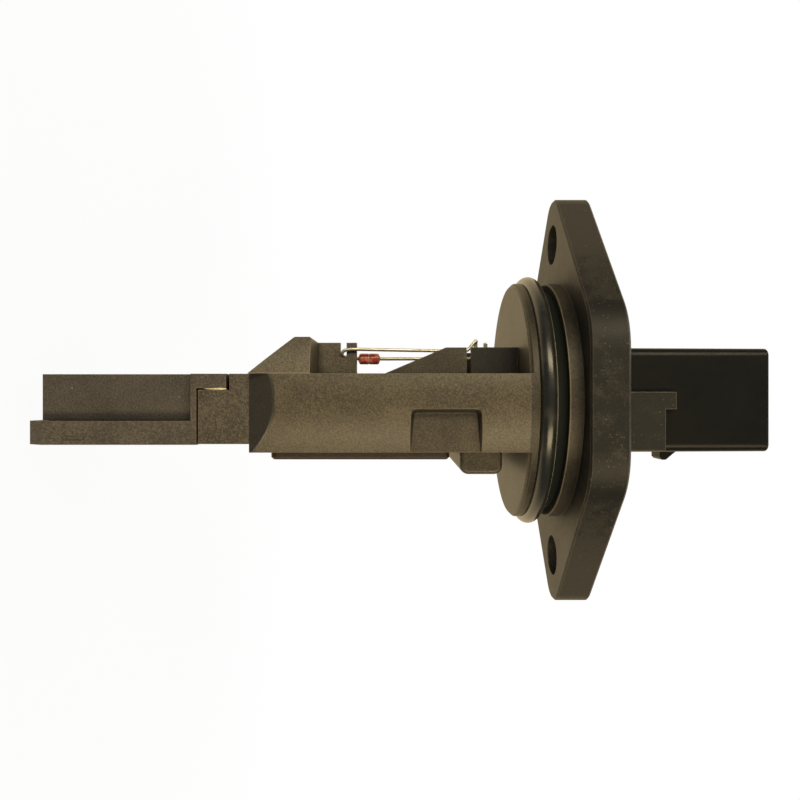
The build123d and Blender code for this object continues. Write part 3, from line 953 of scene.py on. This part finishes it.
@dataclass(frozen=True)
class Metal:
    """Drawn, rolled or plated metal with fine streaks and a little tarnish."""

    name: str
    colour: Colour
    tarnish: Colour
    rough: float
    stretch: Place = (1.0, 1.0, 0.06)
    streak: float = 0.12 * MM
    cloud: float = 1.5 * MM
    edge_radius: float = 0.05 * MM
    cloud_stain: float = 0.7
    streak_stain: float = 0.3
    stain_range: Span = (0.48, 0.7)
    stain_show: float = 0.7
    stain_rough: float = 0.12
    streak_rough: float = 0.2
    worn_clean: float = 0.6
    relief: float = 0.15
    relief_height: float = 0.01 * MM

    def build(self) -> bpy.types.Material:
        """Makes the material.

        Returns:
            The material.
        """
        graph = Graph(self.name)
        drawn = graph.stretched(self.stretch)
        lines = graph.noise(self.streak, detail=2.0, rough=0.5, at=drawn)
        cloud = graph.noise(self.cloud)
        rounded, open_edge = graph.edges(self.edge_radius)
        stain = (cloud * self.cloud_stain + lines * self.streak_stain).ramp(*self.stain_range)
        stained = stain * (1.0 - open_edge * self.worn_clean) * self.stain_show
        colour = graph.mix(stained, self.colour, self.tarnish)
        rough = self.rough + lines.vary(self.streak_rough) + stain * self.stain_rough
        normal = graph.bump(lines, self.relief, self.relief_height, rounded)
        return graph.surface(Base_Color=colour, Metallic=1.0, Roughness=rough, Normal=normal)


@dataclass(frozen=True)
class Ceramic:
    """Fired ceramic with printed conductor tracks."""

    name: str
    body: Colour = (0.72, 0.72, 0.68)
    track: Colour = (0.55, 0.52, 0.46)
    glaze: Colour = (0.10, 0.22, 0.16)
    fields_per_metre: float = 420.0
    track_pitch: float = 0.6 * MM
    track_half: float = 0.14 * MM
    track_soft: float = 0.02 * MM
    track_slope: float = 0.35
    track_patch: float = 2.4 * MM
    patch_edge: float = 0.5
    patch_soft: float = 0.02
    grain: float = 0.2 * MM
    glaze_show: float = 0.25
    track_show: float = 0.9
    rough: float = 0.42
    track_gloss: float = 0.12
    grain_rough: float = 0.1
    track_relief: float = 0.6
    grain_relief: float = 0.2
    relief: float = 0.3
    relief_height: float = 0.02 * MM

    def build(self) -> bpy.types.Material:
        """Makes the material.

        Returns:
            The material.
        """
        graph = Graph(self.name)
        at = graph.axes()
        flat = graph.stretched((0.0, 1.0, 1.0))
        cells = graph.node("TexBrick", None, Vector=flat, Scale=self.fields_per_metre)
        glazed = Value(graph, cells.outputs["Fac"])
        slanting = at.along_flow + at.height * self.track_slope
        line = graph.math(Operation.PINGPONG, slanting, self.track_pitch)
        patch = graph.noise(self.track_patch, detail=1.0).above(self.patch_edge, self.patch_soft)
        track = line.below(self.track_half, self.track_soft) * patch
        fine = graph.noise(self.grain, detail=2.0)
        colour = graph.mix(glazed * self.glaze_show, self.body, self.glaze)
        colour = graph.mix(track * self.track_show, colour, self.track)
        rough = self.rough - track * self.track_gloss + fine.vary(self.grain_rough)
        height = track * self.track_relief + fine * self.grain_relief
        normal = graph.bump(height, self.relief, self.relief_height)
        return graph.surface(Base_Color=colour, Roughness=rough, Normal=normal)


@dataclass(frozen=True)
class CoatedGlass:
    """The coated glass of the probe bead: red, mottled with orange, with a painted highlight round its
    waist.
    """

    name: str
    middle: float
    red: Colour = (0.48, 0.058, 0.042)
    orange: Colour = (0.92, 0.30, 0.19)
    # The colour of the painted highlight round the waist.
    pale: Colour = (0.85, 0.55, 0.36)
    cloud: float = 0.7 * MM
    cloud_range: Span = (0.42, 0.62)
    grain: float = 0.12 * MM
    grain_spots: float = 0.3
    waist_half: float = 0.07 * MM
    waist_soft: float = 0.05 * MM
    waist_highlight_show: float = 0.5
    rough: float = 0.30
    cloud_rough: float = 0.1
    waist_rough: float = 0.1
    cloud_relief: float = 0.7
    grain_relief: float = 0.3
    relief: float = 0.12
    relief_height: float = 0.03 * MM
    coat_rough: float = 0.14
    scatter_share: float = 0.25
    scatter: Place = (0.6 * MM, 0.15 * MM, 0.05 * MM)

    def build(self) -> bpy.types.Material:
        """Makes the material.

        Returns:
            The material.
        """
        graph = Graph(self.name)
        cloud = graph.noise(self.cloud)
        fine = graph.noise(self.grain, detail=2.0)
        from_middle = (graph.axes().height - self.middle).size()
        waist = from_middle.below(self.waist_half, self.waist_soft)
        spots = (cloud + fine.vary(self.grain_spots)).ramp(*self.cloud_range)
        colour = graph.mix(spots, self.red, self.orange)
        # Painted highlight: a pale band round the waist.
        colour = graph.mix(waist * self.waist_highlight_show, colour, self.pale)
        height = cloud * self.cloud_relief + fine * self.grain_relief
        return graph.surface(
            Base_Color=colour,
            Roughness=self.rough + cloud.vary(self.cloud_rough) + waist * self.waist_rough,
            Normal=graph.bump(height, self.relief, self.relief_height),
            Coat_Weight=1.0,
            Coat_Roughness=self.coat_rough,
            Subsurface_Weight=self.scatter_share,
            Subsurface_Radius=self.scatter,
            Subsurface_Scale=1.0,
        )


@dataclass(frozen=True)
class SmallBody:
    """The body of a small electronic part, or a drop of glue, with a slight mottle."""

    name: str
    colour: Colour
    pale: Colour
    rough: float
    cloud: float = 0.6 * MM
    cloud_range: Span = (0.4, 0.7)
    cloud_show: float = 0.6
    cloud_rough: float = 0.15
    grain: float = 0.08 * MM
    edge_radius: float = 0.05 * MM
    pale_edge_show: float = 0.2
    relief: float = 0.2
    relief_height: float = 0.01 * MM

    def build(self) -> bpy.types.Material:
        """Makes the material.

        Returns:
            The material.
        """
        graph = Graph(self.name)
        cloud = graph.noise(self.cloud)
        fine = graph.noise(self.grain, detail=2.0)
        rounded, open_edge = graph.edges(self.edge_radius)
        paler = cloud.ramp(*self.cloud_range) * self.cloud_show + open_edge * self.pale_edge_show
        colour = graph.mix(paler, self.colour, self.pale)
        rough = self.rough + cloud.vary(self.cloud_rough)
        normal = graph.bump(fine, self.relief, self.relief_height, rounded)
        return graph.surface(Base_Color=colour, Roughness=rough, Normal=normal)


def add(data: bpy.types.ID) -> bpy.types.Object:
    """Adds an object to the scene, with the name of its data.

    Args:
        data: A mesh, a curve, a light or a camera.

    Returns:
        The object.
    """
    made = bpy.data.objects.new(data.name, data)
    bpy.context.scene.collection.objects.link(made)
    return made


class Piece:
    """Helpers that the sub-assemblies share."""

    @staticmethod
    def dress(frame: dict[str, Any], names: Sequence[str], material: bpy.types.Material) -> None:
        """Gives nodes of the part one material.

        Args:
            frame: The loaded frame.
            names: The nodes.
            material: Their material.
        """
        for name in names:
            data = frame["nodes"][name].data
            data.materials.clear()
            data.materials.append(material)
            LOG.info("dressed %s with %s", name, material.name)

    @staticmethod
    def finish(
        mesh: bmesh.types.BMesh,
        name: str,
        material: bpy.types.Material,
        slot: Slot,
        node: Optional[str] = None,
    ) -> None:
        """Makes a smooth piece of a finished mesh.

        Args:
            mesh: The mesh, in its place.
            name: The name of the piece.
            material: Its material.
            slot: The material slot of the record, which is handed on to seat.
            node: The node of the part that it stands for, if any.
        """
        bmesh.ops.recalc_face_normals(mesh, faces=mesh.faces)
        data = bpy.data.meshes.new(name)
        mesh.to_mesh(data)
        mesh.free()
        for polygon in data.polygons:
            polygon.use_smooth = True
        Piece.seat(data, material, slot, node)
        LOG.info("built %s with %d faces", name, len(data.polygons))

    @staticmethod
    def wire(
        route: Sequence[Place],
        radius: float,
        name: str,
        material: bpy.types.Material,
        slot: Slot,
        node: str,
    ) -> None:
        """Draws a bent wire along a smooth route, with closed ends.

        Args:
            route: The control points, in millimetres.
            radius: The wire's radius, in metres.
            name: The name of the piece.
            material: Its material.
            slot: The material slot of the record, which is handed on to seat.
            node: The node of the part that it stands for.
        """
        data = bpy.data.curves.new(name, "CURVE")
        data.dimensions = "3D"
        data.bevel_depth = radius
        data.bevel_resolution = 4
        data.use_fill_caps = True
        data.resolution_u = 8
        spline = data.splines.new("NURBS")
        spline.points.add(len(route) - 1)
        for point, place in zip(spline.points, route):
            point.co = (*(Vector(place) * MM), 1.0)
        spline.order_u = 3
        spline.use_endpoint_u = True
        Piece.seat(data, material, slot, node)
        LOG.info("drew %s through %d points", name, len(route))

    @staticmethod
    def seat(
        data: bpy.types.ID, material: bpy.types.Material, slot: Slot, node: Optional[str]
    ) -> None:
        """Makes an object of a finished mesh or curve and lets it ride on the part.

        Args:
            data: The mesh or curve, in its place, which gives the piece its name.
            material: Its material.
            slot: Not used.
            node: The node of the part that it stands for, if any.
        """
        data.materials.append(material)
        made = add(data)
        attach(made, ROOT)
        if node:
            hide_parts(node)

    @staticmethod
    def lathe(profile: Sequence[Span], centre: Vector, steps: int) -> bmesh.types.BMesh:
        """Spins an open profile about an axis along Z, from pole to pole.

        Args:
            profile: Places of radius and height, the first and the last with radius 0.
            centre: The point that the heights count from.
            steps: The number of steps round.

        Returns:
            The closed mesh.
        """
        mesh = bmesh.new()
        places = [centre + Vector((radius, 0.0, height)) for radius, height in profile]
        verts = [mesh.verts.new(place) for place in places]
        for pair in zip(verts, verts[1:]):
            mesh.edges.new(pair)
        Piece.turn(mesh, centre, steps)
        return mesh

    @staticmethod
    def turn(mesh: bmesh.types.BMesh, centre: Vector, steps: int) -> None:
        """Spins all of a mesh once about an axis along Z.

        Args:
            mesh: The outline, which becomes the turned shell.
            centre: A point on the axis.
            steps: The number of steps round.
        """
        bmesh.ops.spin(
            mesh,
            geom=mesh.verts[:] + mesh.edges[:],
            cent=centre,
            axis=(0.0, 0.0, 1.0),
            angle=math.tau,
            steps=steps,
            use_merge=True,
        )
        bmesh.ops.remove_doubles(mesh, verts=mesh.verts, dist=MERGE_DISTANCE)


@dataclass
class Housing:
    """The moulded housing, its cover, the two pieces of the channel and a painted glint at their joint.
    """

    plastic: HousingPlastic = HousingPlastic("housing_plastic")
    channel: MouldedPlastic = MouldedPlastic(
        "channel_plastic", (0.036, 0.031, 0.026), (0.085, 0.072, 0.060)
    )
    base: MouldedPlastic = MouldedPlastic(
        "channel_plastic_base", (0.046, 0.0385, 0.031), (0.108, 0.090, 0.072)
    )
    cover: MouldedPlastic = MouldedPlastic(
        "cover_plastic", (0.020, 0.011, 0.008), (0.052, 0.031, 0.023), (0.20, 0.14, 0.11), rough=0.45
    )
    # A pale sliver put in the joint as a painted highlight, where a glint shows.
    glue: SmallBody = SmallBody("glint_pale", (0.62, 0.55, 0.34), (0.9, 0.86, 0.66), 0.22)
    glint_middle: Place = (-1.32 * MM, -14.72 * MM, -43.15 * MM)
    glint_size: Place = (0.34 * MM, 0.30 * MM, 2.7 * MM)
    glint_taper: float = 0.75
    glint_steps: int = 24
    glint_rings: int = 16

    def dress(self, frame: dict[str, Any]) -> None:
        """Gives the moulded pieces their plastics.

        Args:
            frame: The loaded frame.
        """
        Piece.dress(frame, ["main_housing"], self.plastic.build())
        Piece.dress(frame, ["measuring_channel"], self.channel.build())
        Piece.dress(frame, ["channel_base"], self.base.build())
        Piece.dress(frame, ["electronics_cover"], self.cover.build())

    def build_glint(self) -> None:
        """Builds a pale sliver in the joint at the channel's tongue: a painted highlight where it glints.
        """
        mesh = bmesh.new()
        bmesh.ops.create_uvsphere(
            mesh, u_segments=self.glint_steps, v_segments=self.glint_rings, radius=0.5
        )
        for vert in mesh.verts:
            share = 1.0 - self.glint_taper * (0.5 - vert.co.z)
            vert.co.x *= share
            vert.co.y *= share
        bmesh.ops.scale(mesh, vec=self.glint_size, verts=mesh.verts)
        bmesh.ops.translate(mesh, vec=self.glint_middle, verts=mesh.verts)
        Piece.finish(mesh, "joint_glint", self.glue.build(), Slot.ADHESIVE)


@dataclass
class SealRing:
    """The rubber ring in the groove of the spigot."""

    section_steps: int = 32
    ring_steps: int = 144
    rubber: Rubber = Rubber("seal_rubber")

    def build(self) -> None:
        """Builds the round ring in the place of the plain one."""
        low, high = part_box("seal_ring")
        radius = (high.z - low.z) / 2
        centre = Vector((0.0, 0.0, (low.z + high.z) / 2))
        mesh = bmesh.new()
        side = Matrix.Translation(centre + Vector((high.x - radius, 0.0, 0.0)))
        turn = Matrix.Rotation(math.pi / 2, 4, "X")
        bmesh.ops.create_circle(mesh, segments=self.section_steps, radius=radius, matrix=side @ turn)
        Piece.turn(mesh, centre, self.ring_steps)
        rubber = self.rubber.build()
        Piece.finish(mesh, "seal_ring_rubber", rubber, Slot.SEAL_RUBBER, "seal_ring")


@dataclass
class Probe:
    """The glass bead of the temperature probe, with its leads and posts.

    The routes are the control points of the leads, in millimetres.
    """

    steps: int = 48
    arc_steps: int = 8
    waist_depth: float = 0.05 * MM
    waist_half: float = 0.16 * MM
    waist_shares: Place = (0.35, 0.7, 1.0)
    collar_radius: float = 0.42 * MM
    collar_taper: float = 0.95
    collar_length: float = 0.07 * MM
    end_round: float = 0.27 * MM
    wire_radius: float = 0.22 * MM
    long_route: tuple[Place, ...] = (
        (-5.40, -6.00, -26.35),
        (-5.42, -6.00, -27.40),
        (-5.60, -6.05, -28.45),
        (-5.69, -6.60, -28.80),
        (-5.72, -7.30, -28.84),
        (-5.96, -7.76, -28.92),
        (-6.38, -7.80, -28.60),
        (-6.52, -7.80, -28.00),
        (-6.53, -7.78, -27.00),
        (-6.49, -7.30, -23.50),
        (-6.44, -6.40, -17.00),
        (-6.42, -5.95, -13.30),
        (-6.42, -5.90, -12.60),
        (-7.20, -5.82, -11.95),
        (-7.66, -5.76, -11.55),
        (-7.84, -5.73, -11.24),
    )
    short_route: tuple[Place, ...] = (
        (-5.40, -6.00, -24.60),
        (-5.40, -6.02, -22.00),
        (-5.42, -6.06, -16.00),
        (-5.40, -6.10, -10.47),
    )
    wire: Metal = Metal("lead_metal", (0.86, 0.84, 0.76), (0.50, 0.46, 0.37), 0.45)
    post: Metal = Metal("post_tin", (0.68, 0.60, 0.40), (0.34, 0.27, 0.15), 0.3)

    def build(self, frame: dict[str, Any]) -> None:
        """Builds the bead and dresses the wires.

        Args:
            frame: The loaded frame.
        """
        low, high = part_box("ntc_glass_bead")
        centre = (low + high) / 2
        half = (high.z - low.z) / 2
        radius = (high.x - low.x) / 2
        mesh = Piece.lathe(self._profile(radius, half), centre, self.steps)
        glass = CoatedGlass("bead_glass", centre.z).build()
        Piece.finish(mesh, "ntc_glass_body", glass, Slot.BEAD_GLASS, "ntc_glass_bead")
        metal = self.wire.build()
        for end, route in (("long", self.long_route), ("short", self.short_route)):
            name, node = f"ntc_wire_{end}", f"ntc_lead_{end}"
            Piece.wire(route, self.wire_radius, name, metal, Slot.LEAD_METAL, node)
        Piece.dress(frame, ["ntc_post_long", "ntc_post_short"], self.post.build())

    def _profile(self, radius: float, half: float) -> list[Span]:
        """The outline of the bead at one side of its axis, from one end to the other.

        Args:
            radius: The radius of the bead.
            half: Half its length.

        Returns:
            Places of radius and height.
        """
        shoulder = half - self.collar_length
        upper: list[Span] = [(radius - self.waist_depth, 0.0)]
        for share in self.waist_shares:
            lift = math.sin(share * math.pi / 2) ** 2
            upper.append((radius - self.waist_depth * (1 - lift), self.waist_half * share))
        for step in range(self.arc_steps + 1):
            turn = step / self.arc_steps * math.pi / 2
            out = radius - self.end_round * (1 - math.cos(turn))
            upper.append((out, shoulder - self.end_round * (1 - math.sin(turn))))
        end_radius = self.collar_radius * self.collar_taper
        upper += [(self.collar_radius, shoulder), (end_radius, half), (0.0, half)]
        lower = [(out, -up) for out, up in reversed(upper[1:])]
        return lower + upper


@dataclass
class Electronics:
    """What the sealed chamber holds, and the strip that reaches into the channel."""

    sheet: Metal = Metal("carrier_metal", (0.62, 0.63, 0.64), (0.42, 0.42, 0.42), 0.36, (1.0, 0.06, 1.0))
    board: Ceramic = Ceramic("board_ceramic")
    chip: SmallBody = SmallBody("chip_black", (0.014, 0.014, 0.014), (0.03, 0.03, 0.03), 0.5)
    tan: SmallBody = SmallBody("capacitor_tan", (0.32, 0.20, 0.10), (0.42, 0.29, 0.16), 0.35)
    film: SmallBody = SmallBody("resistor_black", (0.02, 0.02, 0.024), (0.05, 0.05, 0.055), 0.25)
    silicon: SmallBody = SmallBody("sensor_silicon", (0.07, 0.09, 0.14), (0.16, 0.15, 0.2), 0.12)
    glue: SmallBody = SmallBody("adhesive", (0.06, 0.06, 0.058), (0.1, 0.1, 0.095), 0.45)
    foil: Metal = Metal("conductor_foil", (0.80, 0.56, 0.24), (0.5, 0.32, 0.12), 0.28)
    bond: Metal = Metal("bond_metal", (0.78, 0.78, 0.77), (0.6, 0.6, 0.58), 0.25)

    def dress(self, frame: dict[str, Any]) -> None:
        """Gives each inner piece its material.

        Args:
            frame: The loaded frame.
        """
        finishes = {
            "carrier_plate": self.sheet,
            "circuit_board": self.board,
            "evaluation_chip": self.chip,
            "chip_capacitors": self.tan,
            "chip_resistors": self.film,
            "sensor_chip": self.silicon,
            "cover_adhesive": self.glue,
            "sensor_foil": self.foil,
            "bond_wires": self.bond,
        }
        for node, finish in finishes.items():
            Piece.dress(frame, [node], finish.build())


@dataclass
class Terminals:
    """The flat terminals of the plug."""

    count: int = 5
    tin: Metal = Metal("terminal_tin", (0.66, 0.64, 0.58), (0.42, 0.38, 0.3), 0.3)

    def dress(self, frame: dict[str, Any]) -> None:
        """Gives the terminals their tin."""
        names = [f"terminal_{number + 1}" for number in range(self.count)]
        Piece.dress(frame, names, self.tin.build())


@dataclass(frozen=True)
class Lamp:
    """One soft lamp, which points at the middle of the part."""

    name: str
    spot: Place
    size: Span
    power: float
    colour: Colour


@dataclass
class Studio:
    """The camera of the photograph, the soft lamps, the pale surroundings and the floor."""

    camera_distance: float = 90.14 * MM
    camera_height: float = -21.4 * MM
    picture_pixels: float = 800.0
    pixels_per_unit_depth: float = 640.0
    sensor_width: float = 36.0
    lamps: tuple[Lamp, ...] = (
        Lamp("lamp_upper", (-0.30, -0.42, 0.12), (0.14, 0.52), 1.90, (1.0, 0.85, 0.55)),
        Lamp("lamp_lower", (0.28, -0.42, 0.06), (0.14, 0.52), 1.82, (1.0, 0.80, 0.46)),
        Lamp("lamp_top", (0.0, 0.10, 0.55), (0.45, 0.45), 1.3, (1.0, 0.95, 0.86)),
    )
    fill_front: Colour = (0.195, 0.205, 0.215)
    fill_back: Colour = (0.60, 0.56, 0.48)
    gloss_front: Colour = (0.085, 0.090, 0.095)
    gloss_back: Colour = (0.97, 0.77, 0.45)
    fill_lean: Span = (0.8, 0.6)
    fill_range: Span = (-0.3, 0.6)
    gloss_lean: Span = (1.0, 0.15)
    gloss_range: Span = (-0.15, 0.6)
    floor_drop: float = 2.0 * MM
    floor_radius: float = 0.5
    floor_steps: int = 64
    floor_fade: Span = (0.05, 0.20)
    floor_share: float = 0.05
    floor_tone: Colour = (0.8, 0.8, 0.8)

    def build(self) -> None:
        """Builds the camera, the lamps, the world and the floor."""
        self._camera()
        for lamp in self.lamps:
            self._lamp(lamp)
        self._world()
        self._floor()

    def _camera(self) -> None:
        """Places the camera: it looks along the air flow, with the plug to the right."""
        data = bpy.data.cameras.new("camera")
        data.sensor_width = self.sensor_width
        data.lens = self.sensor_width * self.pixels_per_unit_depth / self.picture_pixels
        data.clip_start = 1.0 * MM
        made = add(data)
        right, up, back = Vector((0, 0, 1)), Vector((-1, 0, 0)), Vector((0, -1, 0))
        turn = Matrix((right, up, back)).transposed().to_4x4()
        spot = Vector((0.0, -self.camera_distance, self.camera_height))
        made.matrix_world = Matrix.Translation(spot) @ turn
        bpy.context.scene.camera = made

    def _lamp(self, lamp: Lamp) -> None:
        """Places one soft lamp.

        Args:
            lamp: Its place, size, power and colour.
        """
        data = bpy.data.lights.new(lamp.name, "AREA")
        data.shape = "RECTANGLE"
        data.size, data.size_y = lamp.size
        data.energy = lamp.power
        data.color = lamp.colour
        spot = Vector(lamp.spot)
        aim = Vector((0.0, 0.0, self.camera_height)) - spot
        turn = aim.to_track_quat("-Z", "Y").to_matrix().to_4x4()
        add(data).matrix_world = Matrix.Translation(spot) @ turn

    def _world(self) -> None:
        """Surroundings that the camera sees white, and that light the part mostly from behind."""
        world = bpy.data.worlds.new("surroundings")
        bpy.context.scene.world = world
        graph = Graph("surroundings", world)
        direction = graph.node("TexCoord").outputs["Generated"]
        parts = graph.node("SeparateXYZ", None, s0=direction).outputs
        depth, height = Value(graph, parts[1]), Value(graph, parts[2])
        path = graph.node("LightPath").outputs
        clear = Value(graph, path["Is Camera Ray"]).or_more(path["Is Transmission Ray"])
        behind = depth * self.fill_lean[0] - height * self.fill_lean[1]
        fill = graph.mix(behind.ramp(*self.fill_range), self.fill_front, self.fill_back)
        behind = depth * self.gloss_lean[0] - height * self.gloss_lean[1]
        gloss = graph.mix(behind.ramp(*self.gloss_range), self.gloss_front, self.gloss_back)
        light = graph.mix(path["Is Glossy Ray"], fill, gloss)
        light = graph.mix(clear, light, WHITE)
        ground = graph.node("Background", None, Color=light, Strength=1.0)
        graph.tree.links.new(ground.outputs[0], graph.output.inputs[0])

    def _floor(self) -> None:
        """A pale round floor just below the tip, which melts into the white surroundings."""
        low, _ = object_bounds()
        mesh = bmesh.new()
        place = Matrix.Translation((0.0, 0.0, low[2] - self.floor_drop))
        bmesh.ops.create_circle(
            mesh, cap_ends=True, segments=self.floor_steps, radius=self.floor_radius, matrix=place
        )
        data = bpy.data.meshes.new("floor")
        mesh.to_mesh(data)
        mesh.free()
        graph = Graph("floor_pale")
        near = 1.0 - graph.axes().reach().ramp(*self.floor_fade)
        camera = Value(graph, graph.node("LightPath").outputs["Is Camera Ray"])
        bright = camera * (1.0 - near * self.floor_share)
        matt = graph.node("BsdfDiffuse", None, Color=self.floor_tone).outputs[0]
        white = graph.node("Emission", None, Color=WHITE, Strength=1.0).outputs[0]
        both = graph.node("MixShader", None, s0=bright, s1=matt, s2=white).outputs[0]
        graph.tree.links.new(both, graph.output.inputs[0])
        data.materials.append(graph.material)
        made = add(data)
        made.visible_diffuse = False
        made.visible_glossy = False
        made.visible_shadow = False
        made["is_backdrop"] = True


def main() -> None:
    """Builds the sub-assemblies in order."""
    logging.basicConfig(level=logging.INFO, format="%(name)s: %(message)s")
    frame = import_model()
    bpy.context.scene.view_settings.view_transform = "Standard"
    housing = Housing()
    housing.dress(frame)
    housing.build_glint()
    SealRing().build()
    Probe().build(frame)
    Electronics().dress(frame)
    Terminals().dress(frame)
    Studio().build()


if __name__ == "__main__":
    main()
